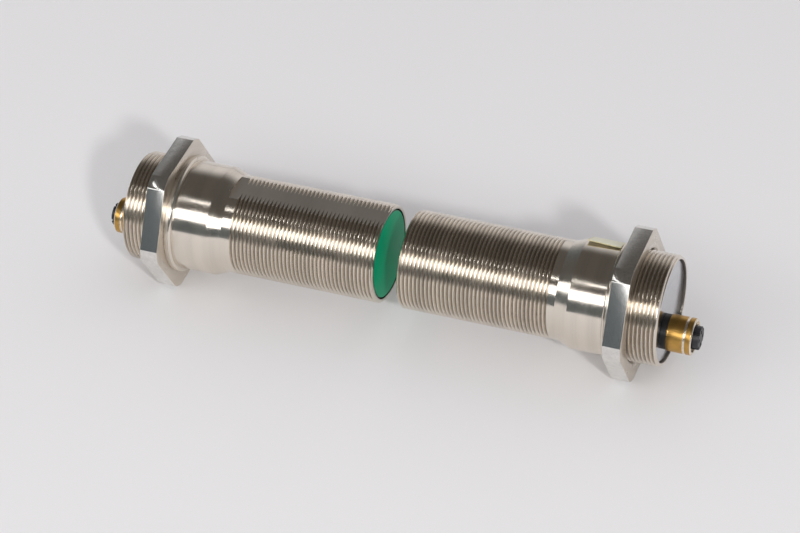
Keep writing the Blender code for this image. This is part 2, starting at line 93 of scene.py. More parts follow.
# Step of a turn at which a thread's cutter ends
THREAD_END_STEP = 53
MM = 0.001
LAMP_DISTANCE = 2.6
# The frame keeps this gap between fixed pieces that touch in the real object
FRAME_GAP = 0.3 * MM
# How far a cutter passes the piece that it cuts
OVERRUN = 1 * MM


class SensorSizes(bpy.types.PropertyGroup):
    """Sizes that the frame's boxes don't give."""

    barrel_radius: bpy.props.FloatProperty(
        name="Barrel radius",
        description="Radius over the barrel's thread",
        default=0.018,
        unit="LENGTH",
    )
    barrel_length: bpy.props.FloatProperty(
        name="Barrel length",
        description="From the front face to the cone",
        default=0.0585,
        unit="LENGTH",
    )
    cone_length: bpy.props.FloatProperty(
        name="Cone length", description="From the barrel to the shank", default=0.005, unit="LENGTH"
    )
    shank_radius: bpy.props.FloatProperty(
        name="Shank radius", description="Radius of the plain shank", default=0.020, unit="LENGTH"
    )
    shank_length: bpy.props.FloatProperty(
        name="Shank length", description="From the cone to the collar", default=0.013, unit="LENGTH"
    )
    rear_radius: bpy.props.FloatProperty(
        name="Rear thread radius",
        description="Radius over the rear thread",
        default=0.01995,
        unit="LENGTH",
    )
    pitch: bpy.props.FloatProperty(
        name="Thread pitch",
        description="Distance from one crest to the next",
        default=0.0015,
        unit="LENGTH",
    )
    root_rounding: bpy.props.FloatProperty(
        name="Root rounding",
        description="Cut off the thread cutter's tip",
        default=0.00026,
        unit="LENGTH",
    )
    flat_depth: bpy.props.FloatProperty(
        name="Flat depth",
        description="Depth of the milled flat on the barrel",
        default=0.0011,
        unit="LENGTH",
    )
    edge: bpy.props.FloatProperty(
        name="Edge rounding", description="Width of a deburred edge", default=0.00014, unit="LENGTH"
    )


class SensorColours(bpy.types.PropertyGroup):
    """Colours of the finishes."""

    steel: bpy.props.FloatVectorProperty(
        name="Turned steel",
        description="Housings and washers",
        default=(0.755, 0.69, 0.61),
        subtype="COLOR",
    )
    nut_steel: bpy.props.FloatVectorProperty(
        name="Nut flats",
        description="Satin steel of the nuts",
        default=(0.78, 0.765, 0.735),
        subtype="COLOR",
    )
    window: bpy.props.FloatVectorProperty(
        name="Window",
        description="Green filter window",
        default=(0.005, 0.29, 0.145),
        subtype="COLOR",
    )
    gold: bpy.props.FloatVectorProperty(
        name="Gold plating",
        description="Connector shells",
        default=(0.53, 0.31, 0.085),
        subtype="COLOR",
    )
    paper: bpy.props.FloatVectorProperty(
        name="Label paper",
        description="Face of the label",
        default=(0.80, 0.78, 0.62),
        subtype="COLOR",
    )
    floor: bpy.props.FloatVectorProperty(
        name="Floor",
        description="Table that the pair lies on",
        default=(0.80, 0.792, 0.798),
        subtype="COLOR",
    )


class SensorStudio(bpy.types.PropertyGroup):
    """Light and camera."""

    strip_power: bpy.props.FloatProperty(
        name="Strip light", description="Power of the long softbox in watts", default=47.0, min=0
    )
    spot_power: bpy.props.FloatProperty(
        name="Side lamp", description="Power of the small side lamp in watts", default=25.0, min=0
    )
    top_power: bpy.props.FloatProperty(
        name="Top lamp", description="Power of the weak top lamp in watts", default=2.2, min=0
    )
    ambient: bpy.props.FloatProperty(
        name="Ambient", description="Light from the room on matt surfaces", default=0.53, min=0
    )
    azimuth: bpy.props.FloatProperty(
        name="Camera azimuth",
        description="Turn from looking along +Y",
        default=math.radians(22.301),
        subtype="ANGLE",
    )
    elevation: bpy.props.FloatProperty(
        name="Camera elevation",
        description="Height above the horizon",
        default=math.radians(40.172),
        subtype="ANGLE",
    )
    roll: bpy.props.FloatProperty(
        name="Camera roll",
        description="Tilt of the horizon",
        default=math.radians(3.26),
        subtype="ANGLE",
    )
    distance: bpy.props.FloatProperty(
        name="Camera distance",
        description="From the point looked at",
        default=1.0961,
        unit="LENGTH",
    )
    focal_length: bpy.props.FloatProperty(
        name="Focal length", description="In millimetres on a 36 mm wide sensor", default=138.73
    )
    aim: bpy.props.FloatVectorProperty(
        name="Aim",
        description="Point looked at",
        default=(0.002194, -0.007153, 0.026569),
        subtype="TRANSLATION",
    )


# ---------------------------------------------------------------- workshop


def deselect():
    if bpy.context.mode != "OBJECT":
        bpy.ops.object.mode_set(mode="OBJECT")
    bpy.ops.object.select_all(action="DESELECT")


def pick(piece):
    deselect()
    piece.select_set(True)
    bpy.context.view_layer.objects.active = piece


def modify(piece, kind, **settings):
    """Adds a modifier and applies it."""
    pick(piece)
    bpy.ops.object.modifier_add(type=kind)
    modifier = piece.modifiers[-1]
    for name, value in settings.items():
        setattr(modifier, name, value)
    bpy.ops.object.modifier_apply(modifier=modifier.name)


def settle(piece):
    """Applies the piece's place, turn and size to its mesh."""
    pick(piece)
    bpy.ops.object.transform_apply()


def cut(piece, cutter):
    modify(piece, "BOOLEAN", operation="DIFFERENCE", solver="MANIFOLD", object=cutter)
    bpy.data.objects.remove(cutter)


def soften(piece, width, segments=2, angle=30):
    modify(
        piece,
        "BEVEL",
        width=width,
        segments=segments,
        limit_method="ANGLE",
        angle_limit=math.radians(angle),
    )


def smooth(piece, angle=30):
    pick(piece)
    bpy.ops.object.shade_smooth_by_angle(angle=math.radians(angle))


def tidy_normals():
    """In edit mode: turns every face of a closed shape outwards."""
    bpy.ops.mesh.select_all(action="SELECT")
    bpy.ops.mesh.normals_make_consistent(inside=False)
    bpy.ops.object.mode_set(mode="OBJECT")


def turned(name, profile, steps=TURNING_STEPS, ring=True):
    """A shape turned about X from its (station, radius) points: a ring, or a solid with caps."""
    deselect()
    station, radius = profile[0]
    bpy.ops.mesh.primitive_circle_add(
        vertices=steps, radius=radius, location=(station, 0, 0), rotation=(0, math.pi / 2, 0)
    )
    piece = bpy.context.object
    piece.name = name
    bpy.ops.object.transform_apply()
    bpy.ops.object.mode_set(mode="EDIT")
    bpy.ops.mesh.select_all(action="SELECT")
    for (before, old), (after, new) in zip(profile, profile[1:]):
        bpy.ops.mesh.extrude_region_move(TRANSFORM_OT_translate={"value": (after - before, 0, 0)})
        bpy.ops.transform.resize(value=(1, new / old, new / old))
    bpy.ops.mesh.select_mode(type="EDGE")
    bpy.ops.mesh.select_all(action="DESELECT")
    bpy.ops.mesh.select_non_manifold()
    if ring:
        bpy.ops.mesh.bridge_edge_loops()
    else:
        bpy.ops.mesh.fill_holes(sides=0)
    tidy_normals()
    return piece


def block(name, size, centre):
    deselect()
    bpy.ops.mesh.primitive_cube_add(size=1, location=centre)
    piece = bpy.context.object
    piece.name = name
    piece.scale = size
    bpy.ops.object.transform_apply()
    return piece


def thread_cutter(sizes, crest, start, turns):
    """The path of a threading tool: a 60 degree tooth with a rounded tip, wound along X."""
    deselect()
    over = 0.08 * MM
    side = sizes.pitch * 0.8 + 2 * over * math.tan(math.pi / 6)
    bpy.ops.mesh.primitive_circle_add(
        vertices=3,
        radius=side / math.sqrt(3),
        location=(start, 0, crest + over - side / (2 * math.sqrt(3))),
        rotation=(-math.pi / 2, 0, 0),
    )
    cutter = bpy.context.object
    bpy.ops.object.transform_apply()
    bpy.ops.object.mode_set(mode="EDIT")
    bpy.ops.mesh.select_mode(type="VERT")
    bpy.ops.mesh.select_all(action="DESELECT")
    bpy.ops.object.mode_set(mode="OBJECT")
    min(cutter.data.vertices, key=lambda v: v.co.z).select = True
    bpy.ops.object.mode_set(mode="EDIT")
    bpy.ops.mesh.bevel(affect="VERTICES", offset=sizes.root_rounding, segments=2)
    bpy.ops.object.mode_set(mode="OBJECT")
    steps = TURNING_STEPS
    modify(
        cutter,
        "SCREW",
        axis="X",
        screw_offset=sizes.pitch,
        iterations=turns,
        steps=steps,
        render_steps=steps,
        use_merge_vertices=False,
    )
    bpy.ops.object.mode_set(mode="EDIT")
    bpy.ops.mesh.select_mode(type="EDGE")
    bpy.ops.mesh.select_all(action="DESELECT")
    bpy.ops.mesh.select_non_manifold()
    bpy.ops.mesh.fill_holes(sides=10)
    tidy_normals()
    cutter.rotation_euler.x = -2 * math.pi * THREAD_END_STEP / steps
    bpy.ops.object.transform_apply()
    return cutter


def finish_faces(piece, finish, chosen=None):
    """Gives a piece a finish, or only the faces whose centre and normal the test chooses."""
    piece.data.materials.append(bpy.data.materials[finish])
    index = len(piece.data.materials) - 1
    for face in piece.data.polygons:
        if chosen is None or chosen(face.center, face.normal):
            face.material_index = index


def lower(piece):
    """Moves a piece from the optical axis to the connector's axis."""
    piece.location.z = -PLUG_DROP
    settle(piece)


def fit(piece, kind, body="", rolled=True, prefixes=tuple(UNITS)):
    """Lays a copy of the piece in each unit, where it stands for the CAD node of that kind."""
    for prefix in prefixes:
        front, facing, roll = UNITS[prefix]
        copy = piece.copy()
        copy.data = piece.data.copy()
        copy.name = prefix + kind + "_made"
        bpy.context.scene.collection.objects.link(copy)
        copy.rotation_euler = (roll if rolled else 0, 0, facing)
        copy.location = (front, 0, AXIS_HEIGHT)
        settle(copy)
        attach(copy, prefix + body if body else prefix[:-1])
        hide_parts(prefix + kind)
    bpy.data.objects.remove(piece)


# ---------------------------------------------------------------- finishes


def add_node(tree, kind, inputs=None, **settings):
    node = tree.nodes.new(kind)
    for name, value in settings.items():
        setattr(node, name, value)
    for name, value in (inputs or {}).items():
        if isinstance(value, bpy.types.NodeSocket):
            tree.links.new(value, node.inputs[name])
        else:
            node.inputs[name].default_value = value
    return node


def maths(tree, operation, first, second=0.0, clamp=False):
    inputs = {0: first, 1: second}
    node = add_node(tree, "ShaderNodeMath", inputs, operation=operation, use_clamp=clamp)
    return node.outputs[0]


def noise(tree, place, scale, detail=3.0, roughness=0.5):
    inputs = {"Vector": place, "Scale": scale, "Detail": detail, "Roughness": roughness}
    return add_node(tree, "ShaderNodeTexNoise", inputs).outputs["Fac"]


def spread(tree, value, low, high, to_low=0.0, to_high=1.0):
    """Maps the value from low..high to to_low..to_high."""
    limits = {"From Min": low, "From Max": high, "To Min": to_low, "To Max": to_high}
    inputs = {"Value": value, **limits}
    return add_node(tree, "ShaderNodeMapRange", inputs).outputs["Result"]


def mix(tree, share, first, second, blend="MIX"):
    node = add_node(tree, "ShaderNodeMix", data_type="RGBA", blend_type=blend)
    for index, value in ((0, share), (6, first), (7, second)):
        if isinstance(value, bpy.types.NodeSocket):
            tree.links.new(value, node.inputs[index])
        else:
            node.inputs[index].default_value = value
    return node.outputs[2]


def new_group(name, inputs, outputs):
    tree = bpy.data.node_groups.new(name, "ShaderNodeTree")
    for label, default in inputs.items():
        kind = "NodeSocketVector" if isinstance(default, tuple) else "NodeSocketFloat"
        tree.interface.new_socket(label, in_out="INPUT", socket_type=kind).default_value = default
    for label in outputs:
        tree.interface.new_socket(label, in_out="OUTPUT", socket_type="NodeSocketFloat")
    return tree, tree.nodes.new("NodeGroupInput").outputs, tree.nodes.new("NodeGroupOutput").inputs


def build_groups():
    """The effects that several finishes share."""
    sockets = {"Place": (0, 0, 0), "Feed": 2600.0}
    tree, given, result = new_group("Turned marks", sockets, ["Lines", "Bands"])
    split = add_node(tree, "ShaderNodeSeparateXYZ", {0: given["Place"]}).outputs
    squares = [maths(tree, "MULTIPLY", split[axis], split[axis]) for axis in (1, 2)]
    across = maths(tree, "POWER", maths(tree, "ADD", *squares), 0.5)
    flat = add_node(tree, "ShaderNodeCombineXYZ", {0: split[0], 1: across}).outputs[0]
    tree.links.new(noise(tree, flat, given["Feed"], 4.0, 0.65), result["Lines"])
    wide = maths(tree, "MULTIPLY", given["Feed"], 0.12)
    tree.links.new(noise(tree, flat, wide, 2.0), result["Bands"])

    sockets = {"Place": (0, 0, 0), "Size": 90.0}
    tree, given, result = new_group("Handling", sockets, ["Smudge", "Speck"])
    clouds = noise(tree, given["Place"], given["Size"], 5.0, 0.6)
    tree.links.new(spread(tree, clouds, 0.42, 0.72), result["Smudge"])
    dust = noise(tree, given["Place"], maths(tree, "MULTIPLY", given["Size"], 26.0), 2.0)
    tree.links.new(spread(tree, dust, 0.68, 0.76), result["Speck"])

    sockets = {"Place": (0, 0, 0), "Grain": 1500.0}
    tree, given, result = new_group("Satin mottle", sockets, ["Mottle", "Grain"])
    coarse = maths(tree, "MULTIPLY", given["Grain"], 0.22)
    patches = noise(tree, given["Place"], coarse, 6.0, 0.7)
    tree.links.new(spread(tree, patches, 0.3, 0.7), result["Mottle"])
    tree.links.new(noise(tree, given["Place"], given["Grain"], 4.0, 0.7), result["Grain"])

    sockets = {"Radius": 0.0003, "Place": (0, 0, 0)}
    tree, given, result = new_group("Edge wear", sockets, ["Wear"])
    rounded = add_node(tree, "ShaderNodeBevel", {"Radius": given["Radius"]}, samples=4).outputs[0]
    normal = add_node(tree, "ShaderNodeNewGeometry").outputs["Normal"]
    turn = add_node(
        tree, "ShaderNodeVectorMath", {0: rounded, 1: normal}, operation="DOT_PRODUCT"
    )
    edge = spread(tree, turn.outputs["Value"], 0.995, 0.93)
    patchy = spread(tree, noise(tree, given["Place"], 700.0, 4.0, 0.7), 0.35, 0.6)
    tree.links.new(maths(tree, "MULTIPLY", edge, patchy, clamp=True), result["Wear"])


def use_group(tree, name, inputs):
    node = add_node(tree, "ShaderNodeGroup", node_tree=bpy.data.node_groups[name])
    for label, value in inputs.items():
        if isinstance(value, bpy.types.NodeSocket):
            tree.links.new(value, node.inputs[label])
        else:
            node.inputs[label].default_value = value
    return node.outputs


def new_finish(name, roughness=0.5, metallic=0.0, **constants):
    """(material, node tree, shader inputs, place centred on the optical axis) of a new finish."""
    material = bpy.data.materials.new(name)
    material.use_nodes = True
    tree = material.node_tree
    shader = tree.nodes["Principled BSDF"].inputs
    shader["Roughness"].default_value = roughness
    shader["Metallic"].default_value = metallic
    for label, value in constants.items():
        shader[label.replace("_", " ").title().replace("Ior", "IOR")].default_value = value
    place = add_node(tree, "ShaderNodeTexCoord").outputs["Object"]
    shift = {"Vector": place, "Location": (0, 0, -AXIS_HEIGHT)}
    centred = add_node(tree, "ShaderNodeMapping", shift).outputs[0]
    return material, tree, shader, centred


def raise_height(tree, shader, height, distance, strength=1.0):
    inputs = {"Strength": strength, "Distance": distance, "Height": height}
    bump = add_node(tree, "ShaderNodeBump", inputs)
    tree.links.new(bump.outputs[0], shader["Normal"])


def tint(colour, factor):
    """The colour made lighter or darker, with an alpha of 1."""
    return tuple(min(1.0, part * factor) for part in colour[:3]) + (1.0,)


def steel(
    name,
    colour,
    roughness,
    feed=2600.0,
    depth=0.6e-6,
    haze=0.12,
    anisotropic=0.8,
    round_bar=True,
):
    """Machined steel: turning marks, hazy handling, a few specks and painted shade in the thread
    roots.
    """
    material, tree, shader, place = new_finish(
        name, metallic=1.0, anisotropic=anisotropic, anisotropic_rotation=0.25
    )
    marks = use_group(tree, "Turned marks", {"Place": place, "Feed": feed})
    handling = use_group(tree, "Handling", {"Place": place, "Size": 90.0})
    lined = spread(tree, marks["Lines"], 0.3, 0.7, roughness - 0.04, roughness + 0.05)
    hazed = maths(tree, "MULTIPLY", handling["Smudge"], haze)
    rough = maths(tree, "ADD", lined, hazed)
    # Painted shade: the deeper a point lies in a thread groove, the darker its base colour; the
    # same mask makes the roots rougher
    painted_root_shade = 0.0
    if round_bar:
        groove = add_node(tree, "ShaderNodeAttribute", attribute_name="groove").outputs["Fac"]
        painted_root_shade = maths(tree, "MULTIPLY", spread(tree, groove, 0.4, 0.95), 0.55)
        rough = maths(tree, "ADD", rough, maths(tree, "MULTIPLY", painted_root_shade, 0.25))
    tree.links.new(rough, shader["Roughness"])
    smudge = maths(tree, "MULTIPLY", handling["Smudge"], 0.35)
    soiled = mix(tree, smudge, tint(colour, 1.0), tint(colour, 0.86))
    streaks = spread(tree, marks["Lines"], 0.35, 0.65, 0.0, 0.5)
    streaked = mix(tree, streaks, soiled, tint(colour, 0.82))
    banded = mix(tree, spread(tree, marks["Bands"], 0.35, 0.65), streaked, tint(colour, 1.06))
    specks = maths(tree, "MULTIPLY", handling["Speck"], 0.25)
    specked = mix(tree, specks, banded, tint(colour, 0.55))
    # The dark brown mixed in here is painted shade in the thread roots
    tree.links.new(mix(tree, painted_root_shade, specked, (0.20, 0.17, 0.13, 1.0)), shader["Base Color"])
    raise_height(tree, shader, marks["Lines"], depth)
    if round_bar:
        tangent = add_node(tree, "ShaderNodeTangent", direction_type="RADIAL", axis="X").outputs[0]
        tree.links.new(tangent, shader["Tangent"])
    return material


def satin(name, colour, roughness, contrast=0.5, grain=1500.0, metallic=1.0, worn=1.7):
    """Satin steel with a crystalline mottle, brighter where its edges are rubbed."""
    material, tree, shader, place = new_finish(name, metallic=metallic)
    mottle = use_group(tree, "Satin mottle", {"Place": place, "Grain": grain})
    wear = use_group(tree, "Edge wear", {"Place": place, "Radius": 0.00035})["Wear"]
    dark, light = tint(colour, 1 - contrast / 2), tint(colour, 1 + contrast / 2)
    surface = mix(tree, mottle["Mottle"], dark, light)
    flecks = spread(tree, mottle["Grain"], 0.5, 0.68, 0.0, contrast * 1.6)
    flecked = mix(tree, flecks, surface, tint(colour, 0.45))
    tree.links.new(mix(tree, wear, flecked, tint(colour, worn)), shader["Base Color"])
    rough = spread(tree, mottle["Mottle"], 0.0, 1.0, roughness + 0.04, roughness - 0.03)
    tree.links.new(rough, shader["Roughness"])
    raise_height(tree, shader, mottle["Grain"], 6e-6, 0.5)
    return material


def gold(name, colour, roughness=0.2):
    """Bright plating over fine turning marks, duller where it has been touched."""
    material, tree, shader, place = new_finish(name, metallic=1.0)
    marks = use_group(tree, "Turned marks", {"Place": place, "Feed": 3200.0})
    handling = use_group(tree, "Handling", {"Place": place, "Size": 240.0})
    touched = mix(tree, handling["Smudge"], tint(colour, 1.05), tint(colour, 0.82))
    tree.links.new(touched, shader["Base Color"])
    rough = maths(tree, "ADD", maths(tree, "MULTIPLY", marks["Lines"], 0.12), roughness - 0.06)
    hazed = maths(tree, "MULTIPLY", handling["Smudge"], 0.1)
    tree.links.new(maths(tree, "ADD", rough, hazed), shader["Roughness"])
    raise_height(tree, shader, marks["Lines"], 0.8e-6)
    return material


def moulded(name, colour, roughness, grain=1800.0, depth=8e-6, **constants):
    """Moulded plastic or rubber: a fine grain and a little dust."""
    material, tree, shader, place = new_finish(name, **constants)
    skin = use_group(tree, "Satin mottle", {"Place": place, "Grain": grain})
    dust = use_group(tree, "Handling", {"Place": place, "Size": 160.0})
    shade = mix(tree, skin["Mottle"], tint(colour, 0.85), tint(colour, 1.15))
    specks = maths(tree, "MULTIPLY", dust["Speck"], 0.18)
    dusty = mix(tree, specks, shade, (0.5, 0.5, 0.48, 1.0))
    tree.links.new(dusty, shader["Base Color"])
    rough = spread(tree, skin["Grain"], 0.3, 0.7, roughness - 0.06, roughness + 0.08)
    tree.links.new(rough, shader["Roughness"])
    raise_height(tree, shader, skin["Grain"], depth, 0.6)
    return material


def filter_window(name, colour):
    """Tinted filter glass with a faint inner cloud, fine dust and a faint painted green glow."""
    # Painted glow: the window emits a dim green light of its own
    painted_glow = (0.0, 0.12, 0.06, 1.0)
    material, tree, shader, place = new_finish(
        name,
        roughness=0.4,
        ior=1.5,
        specular_ior_level=0.1,
        emission_color=painted_glow,
        emission_strength=0.3,
    )
    handling = use_group(tree, "Handling", {"Place": place, "Size": 60.0})
    body = mix(tree, handling["Smudge"], tint(colour, 0.9), tint(colour, 1.15))
    dust = maths(tree, "MULTIPLY", handling["Speck"], 0.2)
    tree.links.new(mix(tree, dust, body, (0.3, 0.4, 0.34, 1.0)), shader["Base Color"])
    tree.links.new(spread(tree, handling["Smudge"], 0.0, 1.0, 0.34, 0.46), shader["Roughness"])
    return material


def label_paper(name, colour):
    """Coated paper, yellowed towards its borders."""
    material, tree, shader, place = new_finish(name, roughness=0.5)
    fibre = use_group(tree, "Satin mottle", {"Place": place, "Grain": 2600.0})
    border = add_node(tree, "ShaderNodeAttribute", attribute_name="border").outputs["Fac"]
    ragged = maths(tree, "ADD", border, maths(tree, "MULTIPLY", fibre["Mottle"], 0.25))
    face = mix(tree, fibre["Grain"], tint(colour, 0.93), tint(colour, 1.06))
    yellowed = mix(tree, spread(tree, ragged, 0.55, 1.15), face, (0.62, 0.56, 0.30, 1.0))
    tree.links.new(yellowed, shader["Base Color"])
    raise_height(tree, shader, fibre["Grain"], 5e-6, 0.4)
    return material


def lens_glass(name):
    """Clear glass with a faint greenish haze."""
    material, tree, shader, place = new_finish(
        name, roughness=0.03, transmission_weight=1.0, ior=1.52
    )
    smudge = use_group(tree, "Handling", {"Place": place, "Size": 120.0})["Smudge"]
    hazed = mix(tree, smudge, (0.93, 0.97, 0.95, 1.0), (0.85, 0.93, 0.90, 1.0))
    tree.links.new(hazed, shader["Base Color"])
    return material


# ---------------------------------------------------------------- pieces


class SENSOR_OT_finishes(bpy.types.Operator):
    """Makes the shared node groups and every finish"""

    bl_idname = "sensor.finishes"
    bl_label = "Finishes"

    def execute(self, context):
        colours = context.scene.sensor_colours
        build_groups()
        steel("Turned steel", colours.steel, 0.14, feed=1500.0, depth=1.2e-6)
        milled = {"feed": 900.0, "depth": 1.5e-6, "anisotropic": 0.2, "round_bar": False}
        plain = {"anisotropic": 0.0, "round_bar": False}
        steel("Milled flat", tint(colours.steel, 0.70), 0.32, **milled)
        steel("Washer steel", tint(colours.steel, 0.95), 0.26, **plain)
        steel("Cover steel", (0.60, 0.605, 0.63), 0.17, depth=0.2e-6, haze=0.05, **plain)
        steel("Nut face steel", tint(colours.steel, 0.95), 0.26, **plain)
        # Painted shade: the wall of the rear recess gets the turned steel darkened to 0.3
        steel("Recess steel", tint(colours.steel, 0.3), 0.4, **plain)
        satin("Nut flat steel", colours.nut_steel, 0.13, contrast=0.26, grain=2300.0, worn=1.15)
        gold("Gold plating", colours.gold, 0.3)
        # Pale metal: the rim's own silvery tone, and a painted highlight in the groove
        gold("Bright ring", (0.86, 0.78, 0.66), 0.22)
        gold("Contact gold", (0.86, 0.60, 0.18), 0.24)
        moulded("Seal rubber", (0.010, 0.010, 0.010), 0.34)
        # Painted shade: a near black green for the window's bevelled rim, where shade rings the
        # window
        moulded("Window edge", (0.006, 0.035, 0.02), 0.4)
        moulded("Insert plastic", (0.016, 0.016, 0.02), 0.38, depth=4e-6)
        moulded("Holder plastic", (0.02, 0.02, 0.02), 0.5)
        moulded("Carrier plastic", (0.52, 0.51, 0.46), 0.48)
        moulded("Chip plastic", (0.022, 0.022, 0.026), 0.45)
        moulded("Board laminate", (0.015, 0.11, 0.045), 0.34, grain=2600.0)
        moulded("Diode resin", (0.32, 0.03, 0.03), 0.16, depth=1e-6, coat_weight=0.4)
        satin("Capacitor can", (0.62, 0.62, 0.63), 0.30, contrast=0.12, grain=2600.0, worn=1.15)
        filter_window("Filter window", colours.window)
        label_paper("Label paper", colours.paper)
        lens_glass("Lens glass")
        return {"FINISHED"}


class SENSOR_OT_housings(bpy.types.Operator):
    """Turns, threads and mills the two housings"""

    bl_idname = "sensor.housings"
    bl_label = "Housings"

    def execute(self, context):
        sizes = context.scene.sensor_sizes
        rear = stations("housing")[1]
        collar_radius = half_width("housing")
        seal_front = stations("cover_seal")[0]
        window_rear = stations("window_seal")[1] + FRAME_GAP
        window_bore = half_width("window") + FRAME_GAP
        cover_bore = half_width("rear_cover") + FRAME_GAP
        barrel, shank, thread = sizes.barrel_radius, sizes.shank_radius, sizes.rear_radius
        cone_end = sizes.barrel_length + sizes.cone_length
        shank_end = cone_end + sizes.shank_length
        collar_end = shank_end + 1.1 * MM
        chamfer, tolerance = 0.6 * MM, 0.02 * MM
        rear_bore, barrel_bore = thread - 3.15 * MM, barrel - 3 * MM
        outside = [
            (0, barrel - chamfer),
            (chamfer, barrel),
            (sizes.barrel_length, barrel),
            (cone_end, shank),
            (shank_end, shank),
            (shank_end, collar_radius - chamfer),
            (shank_end + chamfer, collar_radius),
            (collar_end, collar_radius),
            (collar_end, thread),
            (rear - chamfer, thread),
            (rear, thread - chamfer),
        ]
        inside = [
            (rear, cover_bore),
            (seal_front - FRAME_GAP, cover_bore),
            (seal_front - FRAME_GAP, rear_bore),
            (cone_end, rear_bore),
            (sizes.barrel_length, barrel_bore),
            (window_rear, barrel_bore),
            (window_rear, window_bore),
            (0, window_bore),
        ]
        housing = turned("housing", outside + inside)
        soften(housing, sizes.edge)
        turns = int(sizes.barrel_length / sizes.pitch)
        cut(housing, thread_cutter(sizes, barrel, -sizes.pitch, turns))
        rear_turns = 13
        cut(housing, thread_cutter(sizes, thread, collar_end + 0.8 * MM, rear_turns))
        flat_height = barrel - sizes.flat_depth
        mill_size = (sizes.barrel_length + OVERRUN, 0.04, 0.01)
        mill = block("mill", mill_size, (sizes.barrel_length / 2, 0, flat_height + 0.005))
        mill.location.x -= OVERRUN / 2
        settle(mill)
        cut(housing, mill)

        def on_flat(centre, normal):
            return normal.z > 0.999 and abs(centre.z - flat_height) < tolerance

        def in_recess(centre, normal):
            off_axis = math.hypot(centre.y, centre.z)
            return centre.x > seal_front - 0.4 * MM and off_axis < cover_bore + tolerance

        finish_faces(housing, "Turned steel")
        finish_faces(housing, "Milled flat", on_flat)
        # The recess wall behind the cover gets the darkened steel, as painted shade
        finish_faces(housing, "Recess steel", in_recess)
        threads = (
            (0.8 * MM, sizes.barrel_length, barrel),
            (collar_end, rear - 0.7 * MM, thread),
        )
        self.mark_grooves(housing, threads)
        smooth(housing, 15)
        fit(housing, "housing")
        return {"FINISHED"}

    def mark_grooves(self, housing, threads):
        """Keeps on each point how deep it lies in a thread, from 0 on a crest to 1 at the root."""
        depths = []
        for vertex in housing.data.vertices:
            radius = math.hypot(vertex.co.y, vertex.co.z)
            depth = 0.0
            for start, stop, crest in threads:
                if start < vertex.co.x < stop and radius > crest - 1 * MM:
                    depth = min(1.0, (crest - radius) / (0.9 * MM))
            depths.append(max(0.0, depth))
        # The steel finish turns this depth into painted shade in the thread roots
        groove = housing.data.attributes.new("groove", "FLOAT", "POINT")
        groove.data.foreach_set("value", depths)


class SENSOR_OT_windows(bpy.types.Operator):
    """Makes the green front windows"""

    bl_idname = "sensor.windows"
    bl_label = "Windows"

    def execute(self, context):
        front, rear = stations("window")
        radius = half_width("window")
        window = turned("window", [(front, radius), (rear, radius)], ring=False)
        soften(window, 0.75 * MM, segments=3)
        finish_faces(window, "Filter window")
        # The rim faces of the window get the near black green of painted shade
        finish_faces(window, "Window edge", lambda centre, normal: abs(normal.x) < 0.95)
        smooth(window)
        fit(window, "window")
        return {"FINISHED"}


class SENSOR_OT_nuts(bpy.types.Operator):
    """Makes the hexagonal lock nuts and their washers"""

    bl_idname = "sensor.nuts"
    bl_label = "Lock nuts and washers"

    def execute(self, context):
        sizes = context.scene.sensor_sizes
        front, rear = stations("lock_nut")
        bore = sizes.rear_radius + 0.15 * MM
        lead_in = 0.7 * MM
        low, high = reach("emitter_lock_nut", 2)
        deselect()
        bpy.ops.mesh.primitive_cylinder_add(
            vertices=6,
            radius=(high - low) / math.sqrt(3),
            depth=rear - front,
            location=((front + rear) / 2, 0, 0),
            rotation=(0, math.pi / 2, 0),
        )
        nut = bpy.context.object
        bpy.ops.object.transform_apply()
        corner = half_width("lock_nut")
        disc = turned("disc", [(front - OVERRUN, corner), (rear + OVERRUN, corner)], ring=False)
        modify(nut, "BOOLEAN", operation="INTERSECT", solver="MANIFOLD", object=disc)
        bpy.data.objects.remove(disc)
        soften(nut, 0.13 * MM, segments=2, angle=20)
        reamer = turned(
            "reamer",
            [
                (front - OVERRUN, bore + lead_in + OVERRUN),
                (front + lead_in, bore),
                (rear - lead_in, bore),
                (rear + OVERRUN, bore + lead_in + OVERRUN),
            ],
            ring=False,
        )
        cut(nut, reamer)
        finish_faces(nut, "Nut flat steel")
        finish_faces(nut, "Nut face steel", lambda centre, normal: abs(normal.x) > 0.3)
        smooth(nut, 25)
        fit(nut, "lock_nut", body="nut", rolled=False)

        start, stop = stations("nut_washer")
        outer = half_width("nut_washer")
        start, stop = start - 0.28 * MM, stop + 0.28 * MM
        washer = turned("washer", [(start, bore), (start, outer), (stop, outer), (stop, bore)])
        soften(washer, 0.18 * MM, segments=3)
        finish_faces(washer, "Washer steel")
        smooth(washer)
        fit(washer, "nut_washer", body="washer", rolled=False)
        return {"FINISHED"}


class SENSOR_OT_covers(bpy.types.Operator):
    """Makes the polished rear covers"""

    bl_idname = "sensor.covers"
    bl_label = "Rear covers"

    def execute(self, context):
        front, rear = stations("rear_cover")
        radius = half_width("rear_cover")
        cover = turned("cover", [(front, radius), (rear, radius)], ring=False)
        soften(cover, 0.3 * MM, segments=3)
        hole_radius = 5.9 * MM
        profile = [(front - OVERRUN, hole_radius), (rear + OVERRUN, hole_radius)]
        hole = turned("hole", profile, steps=64, ring=False)
        lower(hole)
        cut(cover, hole)
        finish_faces(cover, "Cover steel")
        smooth(cover)
        fit(cover, "rear_cover")
        return {"FINISHED"}


